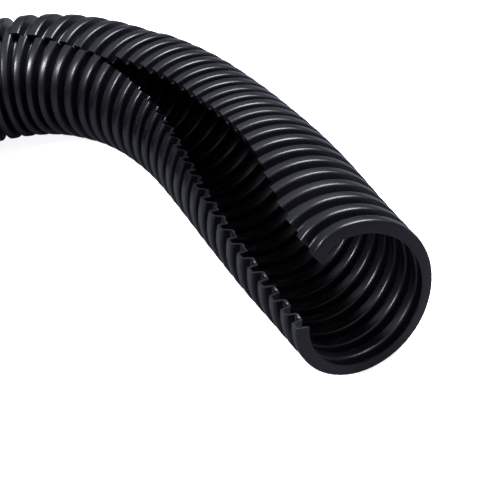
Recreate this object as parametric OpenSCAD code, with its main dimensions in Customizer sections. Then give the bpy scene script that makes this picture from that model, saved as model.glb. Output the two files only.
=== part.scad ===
// Corrugated conduit, split along its whole length, lying on level ground.
// One end is bent and its slit gapes open; from wave 32 the rest runs straight to the far cut end.
// Millimetres. Z is up, the ground is Z = 0, the straight run lies along X and points to -X.
// X = 0 and Y = 0 are the middle of the ground that the whole conduit covers.

/* [Wall] */
// Outside diameter over the wave crests, where the slit is closed
outside_diameter = 28.5; // [27:0.5:31]
// Length of one wave along the conduit
wave_pitch = 4.8; // [4.4:0.1:5.2]
// Height of a wave, from the outside of a valley to the outside of a crest
wave_depth = 2.2; // [1.8:0.1:2.4]
// Thickness of the wall, the same all along a wave
wall = 0.5; // [0.45:0.05:0.6]
// Share of a wave that its crest takes at its top, seen from outside
crest_share = 0.5; // [0.46:0.02:0.54]

/* [Length] */
// Number of waves from one cut end to the other
waves = 208; // [80:1:240]

/* [Bend, seen from above, against the straight run] */
// Turn at the open end
turn_0 = 80; // [70:1:85]
// Turn eight waves in
turn_8 = 81; // [72:1:85]
// Turn sixteen waves in
turn_16 = 76; // [65:1:80]
// Turn twenty-four waves in
turn_24 = 49; // [40:1:52]
// How far the waves lean back over the ground sixteen waves in, in degrees
lean_16 = 6; // [0:1:8]
// How far the waves are skewed in the bend, twenty-four waves in, in degrees
skew_24 = -7; // [-8:1:0]

/* [Slit, as degrees down from the top of the conduit] */
// Upper lip at the open end
upper_0 = 29; // [15:1:35]
// Upper lip eight waves in
upper_8 = 8.5; // [4:0.5:15]
// Upper lip sixteen waves in
upper_16 = 14; // [8:1:18]
// Lower lip at the open end
lower_0 = 78; // [70:1:90]
// Lower lip eight waves in
lower_8 = 66; // [55:1:72]
// Lower lip sixteen waves in
lower_16 = 43; // [34:1:48]
// Closed slit twenty-four waves in
closed_24 = 22.5; // [16:0.5:26]
// Closed slit along the straight run
closed_run = 3; // [0:1:10]
// Width of the closed slit, in degrees around the conduit
closed_slit = 1; // [0.8:0.1:2]
// How far the lower lip has slipped ahead of the upper one at the open end, in millimetres
slip_0 = 7; // [0:0.5:8]
// The same, eight waves in
slip_8 = 6; // [0:0.5:8]
// The same, sixteen waves in
slip_16 = 2; // [-3:0.5:4]
// The same, twenty-four waves in
slip_24 = -2.5; // [-4:0.5:1]

/* [Hidden] */
$fn = 96;
R = outside_diameter / 2;
top = wave_pitch * crest_share / 2;
foot = top + 0.35;
fold = wall * 0.86;
bent = 32;
sides = 16;
run = waves - bent - 1;
lap = 0.2;

// A value that passes smoothly through five values set eight waves apart
function through(a, k) = let (t = min(max(k / 8, 0), 3.9999), i = floor(t), u = t - i,
    p0 = a[max(i - 1, 0)], p1 = a[i], p2 = a[i + 1], p3 = a[min(i + 2, 4)])
    p1 + u * (p2 - p0) / 2 + u * u * (2 * p0 - 5 * p1 + 4 * p2 - p3) / 2 + u * u * u * (3 * p1 - p0 - 3 * p2 + p3) / 2;
function heading(k) = k >= bent ? 180 : 180 - through([turn_0, turn_8, turn_16, turn_24, 0], k);
function slit_mid(k) = k >= bent ? closed_run : through([(upper_0 + lower_0) / 2, (upper_8 + lower_8) / 2, (upper_16 + lower_16) / 2, closed_24, closed_run], k);
function slit(k) = max(closed_slit, k >= 22 ? closed_slit : through([lower_0 - upper_0, lower_8 - upper_8, lower_16 - upper_16, closed_slit, closed_slit], k));
function lean(k) = k >= bent ? 0 : through([0, 0.5, lean_16, lean_16 / 2, 0], k);
function skew(k) = k >= bent ? 0 : through([1.5, 1, 1, skew_24, 0], k);
function slip(k) = k >= bent ? 0 : through([slip_0, slip_8, slip_16, slip_24, 0], k);
// The wall keeps its length around the conduit, so an open wave is wider
function radius(k) = R * (360 - closed_slit) / (360 - slit(k));

// Middle of wave k on the ground plan, stepping back from where the straight run starts
function course(h) = [cos(h), sin(h), 0];
function places(k, at) = k < 0 ? [] : concat(places(k - 1, at - wave_pitch * course(heading(k - 0.5))), [at]);
place = places(bent, [0, 0, 0]);

// Outside and inside of one wave: distance along it from its middle, and height above the valley
outside = [[-foot, 0], [-top, wave_depth], [top, wave_depth], [foot, 0]];
inside = [[fold - foot, 0], [fold - top, wave_depth], [top - fold, wave_depth], [foot - fold, 0]];
// Flat sides cut inside a true circle; this puts their middle line on it
plump = 1 + (1 - cos(180 / sides)) / 3;
// Point of wave k on side n of the wall, counted from the lower lip round to the upper one
function spot(k, along, r, n) = let (w = k + along / wave_pitch, h = heading(w) + skew(w), a = slit_mid(k) + slit(k) / 2 + (360 - slit(k)) * n / sides)
    place[k] + (along + slip(w) * (n / sides - 0.5)) * course(heading(k)) + [0, 0, plump * radius(k)]
    + plump * r * (cos(a) * [-sin(lean(w)) * cos(h), -sin(lean(w)) * sin(h), cos(lean(w))] + sin(a) * [-sin(h), cos(h), 0]);

rows = [for (k = [0 : bent], j = [0 : 3]) [k, j]];
M = len(rows);
skin = concat(
    [for (q = rows, n = [0 : sides]) spot(q[0], outside[q[1]][0], radius(q[0]) - wave_depth + outside[q[1]][1], n)],
    [for (q = rows, n = [0 : sides]) spot(q[0], inside[q[1]][0], radius(q[0]) - wave_depth - wall + inside[q[1]][1], n)]);
function o(i, n) = i * (sides + 1) + n;
function v(i, n) = (M + i) * (sides + 1) + n;
panels = concat(
    [for (i = [0 : M - 2], n = [0 : sides - 1]) each [[o(i, n), o(i, n + 1), o(i + 1, n)], [o(i + 1, n), o(i, n + 1), o(i + 1, n + 1)]]],
    [for (i = [0 : M - 2], n = [0 : sides - 1]) each [[v(i, n), v(i + 1, n), v(i, n + 1)], [v(i + 1, n), v(i + 1, n + 1), v(i, n + 1)]]],
    [for (i = [0 : M - 2]) each [[o(i, 0), o(i + 1, 0), v(i, 0)], [o(i + 1, 0), v(i + 1, 0), v(i, 0)], [o(i, sides), v(i, sides), o(i + 1, sides)], [o(i + 1, sides), v(i, sides), v(i + 1, sides)]]],
    [for (n = [0 : sides - 1]) each [[o(0, n), v(0, n), o(0, n + 1)], [v(0, n), v(0, n + 1), o(0, n + 1)], [o(M - 1, n), o(M - 1, n + 1), v(M - 1, n)], [v(M - 1, n), o(M - 1, n + 1), v(M - 1, n + 1)]]]);

// The far cut end, and the middle of the ground covered, from where the straight run starts
far_end = -run * wave_pitch - foot;
middle = [(max([for (p = skin) p[0]]) + far_end) / 2, (min([for (p = skin) p[1]]) + R) / 2, 0];

// The bent waves and the open slit
module bend() {
    polyhedron(skin, panels, convexity = 20);
}

// The straight run, one true turned wall. It laps the last bent valley a little.
module straight() {
    translate([lap - foot, 0, R]) rotate([0, 0, 180]) rotate([0, 90, 0]) rotate([0, 0, 180 - closed_run])
        rotate_extrude(angle = 360 - closed_slit, start = closed_slit / 2)
            polygon(concat(
                [[R - wave_depth - wall, 0], [R - wave_depth, 0]],
                [for (i = [1 : run]) let (c = i * wave_pitch + lap - foot) each [[R - wave_depth, c - foot], [R, c - top], [R, c + top], [R - wave_depth, c + foot]]],
                [for (i = [run : -1 : 1]) let (c = i * wave_pitch + lap - foot) each [[R - wave_depth - wall, c + foot - (i == run ? 0 : fold)], [R - wall, c + top - fold], [R - wall, c + fold - top], [R - wave_depth - wall, c + fold - foot]]]));
}

module conduit() {
    color([0.04, 0.04, 0.045]) translate(-middle) {
        bend();
        straight();
    }
}

conduit();
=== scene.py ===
import math
import bmesh
import bpy
import numpy as np
from mathutils import Matrix, Vector


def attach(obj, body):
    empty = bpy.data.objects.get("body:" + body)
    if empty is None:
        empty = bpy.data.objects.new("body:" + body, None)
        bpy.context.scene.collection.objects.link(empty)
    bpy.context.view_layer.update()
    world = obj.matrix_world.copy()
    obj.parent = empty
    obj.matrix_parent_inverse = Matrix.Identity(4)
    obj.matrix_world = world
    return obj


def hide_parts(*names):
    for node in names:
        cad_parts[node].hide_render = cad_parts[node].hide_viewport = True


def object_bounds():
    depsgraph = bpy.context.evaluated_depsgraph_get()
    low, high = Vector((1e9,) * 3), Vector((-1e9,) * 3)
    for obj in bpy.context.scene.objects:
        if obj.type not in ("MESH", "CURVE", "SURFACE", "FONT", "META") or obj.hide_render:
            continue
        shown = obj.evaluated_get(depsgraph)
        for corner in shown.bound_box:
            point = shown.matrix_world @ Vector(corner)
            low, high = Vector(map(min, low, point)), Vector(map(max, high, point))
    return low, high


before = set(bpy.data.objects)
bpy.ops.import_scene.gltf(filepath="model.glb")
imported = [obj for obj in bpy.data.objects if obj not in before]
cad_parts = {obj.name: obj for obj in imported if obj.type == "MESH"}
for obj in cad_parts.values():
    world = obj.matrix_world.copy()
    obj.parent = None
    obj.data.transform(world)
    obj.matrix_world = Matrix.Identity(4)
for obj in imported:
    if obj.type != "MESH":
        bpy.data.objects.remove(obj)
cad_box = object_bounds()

# ------------------------------------------------------------------ the conduit's own sizes, in millimetres, as in part.scad
OD, PITCH, DEPTH, WALL = 28.5, 4.8, 2.2, 0.5
R0 = OD / 2
WAVES, BENT = 208, 32
TOP = PITCH * 0.5 / 2
FOOT = TOP + 0.35
D = math.pi / 180


def through(a, k):
    a = np.asarray(a, float)
    t = np.clip(np.asarray(k, float) / 8, 0, 3.9999)
    i = np.floor(t).astype(int)
    u = t - i
    p0, p1, p2, p3 = a[np.maximum(i - 1, 0)], a[i], a[i + 1], a[np.minimum(i + 2, 4)]
    return p1 + u * (p2 - p0) / 2 + u * u * (2 * p0 - 5 * p1 + 4 * p2 - p3) / 2 + u**3 * (3 * p1 - p0 - 3 * p2 + p3) / 2


def held(k, values, last):
    k = np.asarray(k, float)
    return np.where(k >= BENT, last, through(values, k))


def heading(k):
    return 180 - held(k, [80, 81, 76, 49, 0], 0)


def slit_mid(k):
    return held(k, [53.5, 37.25, 28.5, 22.5, 3], 3)


def slit(k):
    k = np.asarray(k, float)
    return np.maximum(1, np.where(k >= 22, 1, through([49, 57.5, 29, 1, 1], k)))


def lean(k):
    return held(k, [0, 0.5, 6, 3, 0], 0)


def skew(k):
    return held(k, [1.5, 1, 1, -7, 0], 0)


def slip(k):
    return held(k, [7, 6, 2, -2.5, 0], 0)


def radius(k):
    return R0 * 359 / (360 - slit(k))


# middle of each wave on the ground plan; the run starts at wave 32 and goes to -X
place = np.zeros((WAVES, 2))
for k in range(BENT - 1, -1, -1):
    h = float(heading(k + 0.5)) * D
    place[k] = place[k + 1] - PITCH * np.array([math.cos(h), math.sin(h)])
for k in range(BENT + 1, WAVES):
    place[k] = place[k - 1] + [-PITCH, 0]
# the CAD box puts the far cut end and the run's outside where they are
far_x = -(WAVES - 1 - BENT) * PITCH - FOOT
shift = np.array([cad_box[0].x * 1000 - far_x, cad_box[1].y * 1000 - R0])


# ------------------------------------------------------------------ one wave in section: (along the conduit, height over the valley)
def fillet(points, radii, steps):
    """A run of straight lines with rounded corners."""
    out = [np.array(points[0], float)]
    for i in range(1, len(points) - 1):
        a, b, c = (np.array(points[j], float) for j in (i - 1, i, i + 1))
        r, n = radii[i], steps[i]
        u, v = (a - b) / np.linalg.norm(a - b), (c - b) / np.linalg.norm(c - b)
        half = math.acos(max(-1, min(1, float(u @ v)))) / 2
        t = r / math.tan(half)
        t = min(t, 0.49 * np.linalg.norm(a - b), 0.49 * np.linalg.norm(c - b))
        r = t * math.tan(half)
        centre = b + (u + v) / np.linalg.norm(u + v) * r / math.sin(half)
        s, e = b + u * t - centre, b + v * t - centre
        sweep = math.pi - 2 * half
        sign = 1 if s[0] * e[1] - s[1] * e[0] > 0 else -1
        for q in range(n + 1):
            w = sign * sweep * q / n
            out.append(centre + [s[0] * math.cos(w) - s[1] * math.sin(w), s[0] * math.sin(w) + s[1] * math.cos(w)])
    out.append(np.array(points[-1], float))
    return np.array(out)


def wave(fine):
    """Outside and inside of a wave from valley middle to valley middle."""
    half = PITCH / 2
    if fine:
        outer = fillet(
            [(-half, 0), (-FOOT - 0.06, 0), (-TOP - 0.02, DEPTH), (TOP + 0.02, DEPTH), (FOOT + 0.06, 0), (half, 0)],
            [0, 0.5, 0.6, 0.6, 0.5, 0], [0, 3, 4, 4, 3, 0])
        f = WALL * 0.9
        inner = fillet(
            [(-half, -WALL), (-FOOT - 0.06 + f, -WALL), (-TOP + f, DEPTH - WALL), (TOP - f, DEPTH - WALL), (FOOT + 0.06 - f, -WALL), (half, -WALL)],
            [0, 0.55, 0.3, 0.3, 0.55, 0], [0, 3, 3, 3, 3, 0])
    else:
        outer = np.array([(-FOOT, 0), (-TOP - 0.12, DEPTH - 0.35), (-TOP + 0.3, DEPTH), (TOP - 0.3, DEPTH), (TOP + 0.12, DEPTH - 0.35), (FOOT, 0)], float)
        f = WALL * 0.86
        inner = np.array([(f - FOOT, -WALL), (f - TOP, DEPTH - WALL), (TOP - f, DEPTH - WALL), (FOOT - f, -WALL)], float)
    return outer, inner


def ring(k, along, height, frac, wobble):
    """Points round the wall of wave k, in metres in the frame. frac runs from 0 at the lower lip to 1 at the upper one."""
    w = k + along / PITCH
    h = (heading(w) + skew(w)) * D
    hk = float(heading(k)) * D
    a = (slit_mid(k) + slit(k) / 2 + (360 - slit(k)) * frac) * D
    le = lean(w) * D
    r = float(radius(k)) - DEPTH + height + wobble
    # the upper lip curls in a little at the open end
    r = r - 2.4 * np.clip((frac - 0.9) / 0.1, 0, 1) ** 2 * max(0.0, 1 - k / 2.6)
    run = np.array([math.cos(hk), math.sin(hk), 0])
    up = np.stack([-np.sin(le) * np.cos(h), -np.sin(le) * np.sin(h), np.cos(le)], 1)
    side = np.stack([-np.sin(h), np.cos(h), 0 * h], 1)
    base = np.array([place[k][0] + shift[0], place[k][1] + shift[1], float(radius(k))])
    p = base + (along + slip(w) * (frac - 0.5))[:, None] * run
    p = p + (r * np.cos(a))[:, None] * up + (r * np.sin(a))[:, None] * side
    return p / 1000


def wall_mesh(name, first, last, fine, sides, near_end, far_end):
    """A closed thin wall over waves first..last."""
    outer, inner = wave(fine)
    frac = np.linspace(0, 1, sides + 1)
    if fine:
        # a little closer together by the two lips
        frac = frac - 0.012 * np.sin(2 * math.pi * frac) / (2 * math.pi) * 4
    angle = frac * 2 * math.pi

    def rows(profile, inside):
        out = []
        for k in range(first, last + 1):
            seg = profile
            if near_end and k == first:
                keep = seg[:, 0] > -FOOT - 0.02
                cut = np.array([[-FOOT - 0.1, -WALL if inside else 0.0]])
                seg = np.concatenate([cut, seg[keep & (seg[:, 0] > -FOOT - 0.09)]])
            if far_end and k == last:
                seg = np.concatenate([seg[seg[:, 0] < FOOT - 0.02], [[FOOT, -WALL if inside else 0.0]]])
            if not fine and k == first:
                seg = np.concatenate([[[-PITCH / 2, -WALL if inside else 0.0]], seg])
            if fine and not (near_end and k == first):
                seg = seg[1:] if k > first else seg
            for u, hh in seg:
                seed = 0.02 * np.sin(3 * angle + 0.9 * k) + 0.015 * np.sin(5 * angle - 1.7 * k) if fine else 0 * angle
                fade = min(1.0, max(0.0, (BENT + 4 - k) / 6)) if fine else 0
                out.append(ring(k, np.full(sides + 1, u), hh, frac, fade * seed))
        return np.array(out)

    A, B = rows(outer, False), rows(inner, True)
    na, nb, n = len(A), len(B), sides + 1
    verts = np.concatenate([A.reshape(-1, 3), B.reshape(-1, 3)])
    faces = []
    for i in range(na - 1):
        for j in range(sides):
            faces.append((i * n + j, i * n + j + 1, (i + 1) * n + j + 1, (i + 1) * n + j))
    o = na * n
    for i in range(nb - 1):
        for j in range(sides):
            faces.append((o + i * n + j, o + (i + 1) * n + j, o + (i + 1) * n + j + 1, o + i * n + j + 1))
    # end rings
    for j in range(sides):
        faces.append((j, o + j, o + j + 1, j + 1))
        e, g = (na - 1) * n, o + (nb - 1) * n
        faces.append((e + j, e + j + 1, g + j + 1, g + j))
    # lips: the outer and inner rows are stitched along the conduit by how far along they lie
    def lip(col, flip):
        pa = [i * n + col for i in range(na)]
        pb = [o + i * n + col for i in range(nb)]
        key_a, key_b = span(outer, na), span(inner, nb)
        i = j = 0
        while i < na - 1 or j < nb - 1:
            step_a = j == nb - 1 or (i < na - 1 and key_a[i + 1] <= key_b[j + 1])
            tri = (pa[i], pa[i + 1], pb[j]) if step_a else (pa[i], pb[j + 1], pb[j])
            faces.append(tri if flip else tri[::-1])
            if step_a:
                i += 1
            else:
                j += 1

    def span(profile, count):
        keys = []
        inside = profile is inner
        for k in range(first, last + 1):
            seg = profile
            if near_end and k == first:
                keep = seg[:, 0] > -FOOT - 0.02
                cut = np.array([[-FOOT - 0.1, 0.0]])
                seg = np.concatenate([cut, seg[keep & (seg[:, 0] > -FOOT - 0.09)]])
            if far_end and k == last:
                seg = np.concatenate([seg[seg[:, 0] < FOOT - 0.02], [[FOOT, 0.0]]])
            if not fine and k == first:
                seg = np.concatenate([[[-PITCH / 2, 0.0]], seg])
            if fine and not (near_end and k == first):
                seg = seg[1:] if k > first else seg
            m = len(seg)
            for q in range(m):
                # matched by share of the way along the wave's line, so crest goes with crest
                keys.append(k + q / m)
        return keys

    lip(0, True)
    lip(sides, False)
    me = bpy.data.meshes.new(name)
    me.from_pydata(verts.tolist(), [], faces)
    me.validate()
    bm = bmesh.new()
    bm.from_mesh(me)
    bmesh.ops.recalc_face_normals(bm, faces=bm.faces)
    bm.to_mesh(me)
    bm.free()
    for p in me.polygons:
        p.use_smooth = True
    me.set_sharp_from_angle(angle=math.radians(50))
    ob = bpy.data.objects.new(name, me)
    bpy.context.scene.collection.objects.link(ob)
    # where each point lies round the wall and along the conduit, for the streaks left by the mould
    at = me.attributes.new("around", "FLOAT_VECTOR", "POINT")
    data = np.zeros((len(verts), 3))
    na_rows = np.concatenate([np.repeat(np.arange(na) / max(na - 1, 1), n), np.repeat(np.arange(nb) / max(nb - 1, 1), n)])
    data[:, 0] = na_rows * (last - first + 1) + first
    data[:, 1] = np.concatenate([np.tile(frac, na), np.tile(frac, nb)])
    data[:, 2] = np.concatenate([np.zeros(na * n), np.ones(nb * n)])
    at.data.foreach_set("vector", data.ravel())
    return ob


# ------------------------------------------------------------------ satin black moulded plastic
def plastic(name):
    mat = bpy.data.materials.new(name)
    mat.use_nodes = True
    nt = mat.node_tree
    nt.nodes.clear()
    N = nt.nodes.new
    L = nt.links.new
    out = N("ShaderNodeOutputMaterial")
    bs = N("ShaderNodeBsdfPrincipled")
    L(bs.outputs["BSDF"], out.inputs["Surface"])
    coord = N("ShaderNodeAttribute")
    coord.attribute_name = "around"
    pos = N("ShaderNodeTexCoord")

    def scaled(src, sc):
        m = N("ShaderNodeMapping")
        m.inputs["Scale"].default_value = sc
        L(src, m.inputs["Vector"])
        return m.outputs["Vector"]

    def noise(vec, scale, detail, rough=0.5):
        t = N("ShaderNodeTexNoise")
        t.inputs["Scale"].default_value = scale
        t.inputs["Detail"].default_value = detail
        t.inputs["Roughness"].default_value = rough
        L(vec, t.inputs["Vector"])
        return t.outputs["Fac"]

    def ramp(src, p0, c0, p1, c1):
        r = N("ShaderNodeValToRGB")
        r.color_ramp.elements[0].position = p0
        r.color_ramp.elements[0].color = c0
        r.color_ramp.elements[1].position = p1
        r.color_ramp.elements[1].color = c1
        L(src, r.inputs["Fac"])
        return r.outputs["Color"]

    def level(src, a, b, c, d):
        m = N("ShaderNodeMapRange")
        m.inputs["From Min"].default_value = a
        m.inputs["From Max"].default_value = b
        m.inputs["To Min"].default_value = c
        m.inputs["To Max"].default_value = d
        L(src, m.inputs["Value"])
        return m.outputs["Result"]

    # long streaks run round the wall, fine across the waves
    streak = noise(scaled(coord.outputs["Vector"], (26, 5, 1)), 1.0, 4, 0.6)
    patch = noise(scaled(pos.outputs["Object"], (60, 60, 60)), 1.0, 3)
    grain = noise(scaled(pos.outputs["Object"], (2600, 2600, 2600)), 1.0, 2)
    colour = N("ShaderNodeMix")
    colour.data_type = "RGBA"
    colour.inputs["A"].default_value = (0.0026, 0.0026, 0.0040, 1)
    colour.inputs["B"].default_value = (0.0055, 0.0055, 0.0082, 1)
    L(level(patch, 0.3, 0.7, 0.15, 0.85), colour.inputs["Factor"])
    L(colour.outputs["Result"], bs.inputs["Base Color"])
    both = N("ShaderNodeMath")
    both.operation = "ADD"
    L(level(streak, 0.3, 0.7, -0.05, 0.05), both.inputs[0])
    L(level(patch, 0.3, 0.7, 0.27, 0.34), both.inputs[1])
    L(both.outputs[0], bs.inputs["Roughness"])
    bs.inputs["IOR"].default_value = 1.5
    bs.inputs["Specular IOR Level"].default_value = 0.55
    b1 = N("ShaderNodeBump")
    b1.inputs["Strength"].default_value = 0.25
    b1.inputs["Distance"].default_value = 0.00012
    L(streak, b1.inputs["Height"])
    b2 = N("ShaderNodeBump")
    b2.inputs["Strength"].default_value = 0.2
    b2.inputs["Distance"].default_value = 0.00004
    L(grain, b2.inputs["Height"])
    L(b1.outputs["Normal"], b2.inputs["Normal"])
    L(b2.outputs["Normal"], bs.inputs["Normal"])
    return mat


black = plastic("satin_black_plastic")
CUT = 44
bend = wall_mesh("conduit_bend", 0, CUT, True, 60, True, False)
run = wall_mesh("conduit_run", CUT + 1, WAVES - 1, False, 60, False, True)
for piece in (bend, run):
    piece.data.materials.append(black)
    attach(piece, "root")
    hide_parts("conduit")

# ------------------------------------------------------------------ ground, light and camera
def stage_material(name, colour, rough, glow):
    mat = bpy.data.materials.new(name)
    mat.use_nodes = True
    b = mat.node_tree.nodes["Principled BSDF"]
    b.inputs["Base Color"].default_value = (*colour, 1)
    b.inputs["Roughness"].default_value = rough
    b.inputs["Emission Color"].default_value = (*colour, 1)
    # the ground is seen paler than the light it throws back
    path = mat.node_tree.nodes.new("ShaderNodeLightPath")
    lift = mat.node_tree.nodes.new("ShaderNodeMapRange")
    lift.inputs["To Min"].default_value = 0.02
    lift.inputs["To Max"].default_value = glow
    mat.node_tree.links.new(path.outputs["Is Camera Ray"], lift.inputs["Value"])
    mat.node_tree.links.new(lift.outputs["Result"], b.inputs["Emission Strength"])
    tone = mat.node_tree.nodes.new("ShaderNodeMix")
    tone.data_type = "RGBA"
    tone.inputs["A"].default_value = (0.12, 0.12, 0.14, 1)
    tone.inputs["B"].default_value = (*colour, 1)
    mat.node_tree.links.new(path.outputs["Is Camera Ray"], tone.inputs["Factor"])
    mat.node_tree.links.new(tone.outputs["Result"], b.inputs["Base Color"])
    return mat


me = bpy.data.meshes.new("floor")
s = 6.0
me.from_pydata([(-s, -s, -0.0006), (s, -s, -0.0006), (s, s, -0.0006), (-s, s, -0.0006)], [], [(0, 1, 2, 3)])
floor = bpy.data.objects.new("floor", me)
bpy.context.scene.collection.objects.link(floor)
me.materials.append(stage_material("pale_floor", (0.93, 0.93, 0.94), 0.9, 0.95))

world = bpy.data.worlds.new("studio")
bpy.context.scene.world = world
world.use_nodes = True
world.node_tree.nodes["Background"].inputs["Color"].default_value = (0.84, 0.87, 1.0, 1)
world.node_tree.nodes["Background"].inputs["Strength"].default_value = 0.3

# bright overhead, dark towards the horizon, as in a studio with a lit ceiling
wn = world.node_tree
geo = wn.nodes.new("ShaderNodeTexCoord")
split = wn.nodes.new("ShaderNodeSeparateXYZ")
wn.links.new(geo.outputs["Generated"], split.inputs["Vector"])
sky = wn.nodes.new("ShaderNodeMapRange")
sky.inputs["From Min"].default_value = 0.1
sky.inputs["From Max"].default_value = 0.9
sky.inputs["To Min"].default_value = 0.04
sky.inputs["To Max"].default_value = 0.75
wn.links.new(split.outputs["Z"], sky.inputs["Value"])
wn.links.new(sky.outputs["Result"], wn.nodes["Background"].inputs["Strength"])

# camera, found by matching the conduit's own waves and lips to the view
EL, DIST, FOCAL, ROLL = 36.7063 * D, 18.6412 * 28.5, 2449.99, -14.0553 * D
X0, Y0, RUN = 0.658745 * 28.5, -1.603756 * 28.5, 187.24786 * D
turn = math.pi - RUN


def to_frame(p):
    x, y, z = p
    return Vector((x * math.cos(turn) - y * math.sin(turn), x * math.sin(turn) + y * math.cos(turn), z))


fw = to_frame((0, math.cos(EL), -math.sin(EL)))
right = math.cos(ROLL) * to_frame((1, 0, 0)) + math.sin(ROLL) * to_frame((0, math.sin(EL), math.cos(EL)))
up = -math.sin(ROLL) * to_frame((1, 0, 0)) + math.cos(ROLL) * to_frame((0, math.sin(EL), math.cos(EL)))
near = to_frame((X0, Y0, 0))
look = Vector((place[0][0] + shift[0] - near.x, place[0][1] + shift[1] - near.y, 0))
cam_data = bpy.data.cameras.new("camera")
cam = bpy.data.objects.new("camera", cam_data)
bpy.context.scene.collection.objects.link(cam)
m = Matrix.Identity(3)
m.col[0], m.col[1], m.col[2] = right, up, -fw
cam.matrix_world = Matrix.Translation((look - DIST * fw) / 1000) @ m.to_4x4()
cam_data.sensor_fit = "HORIZONTAL"
cam_data.sensor_width = 36
cam_data.lens = FOCAL / 500 * 36
cam_data.clip_start, cam_data.clip_end = 0.01, 50
bpy.context.scene.camera = cam


def area(name, pos, target, size, power, size_y=None):
    ld = bpy.data.lights.new(name, "AREA")
    ld.energy = power
    ld.size = size
    ld.color = (0.88, 0.91, 1.0)
    if size_y:
        ld.shape = "RECTANGLE"
        ld.size_y = size_y
    ob = bpy.data.objects.new(name, ld)
    bpy.context.scene.collection.objects.link(ob)
    p, t = Vector(pos), Vector(target)
    ob.matrix_world = Matrix.Translation(p) @ (t - p).to_track_quat("-Z", "Y").to_matrix().to_4x4()
    return ob


target = look / 1000
# over the view's top right: lights the crests' upper right sides
back = fw.copy()
back.z = 0
back.normalize()
side = Vector((right.x, right.y, 0)).normalized()
area("key", target + side * 0.5 + back * 0.35 + Vector((0, 0, 0.9)), target, 0.6, 24)
area("fill", target - side * 0.9 - back * 0.3 + Vector((0, 0, 0.8)), target, 0.2, 11)
bpy.context.scene.view_settings.view_transform = "Standard"
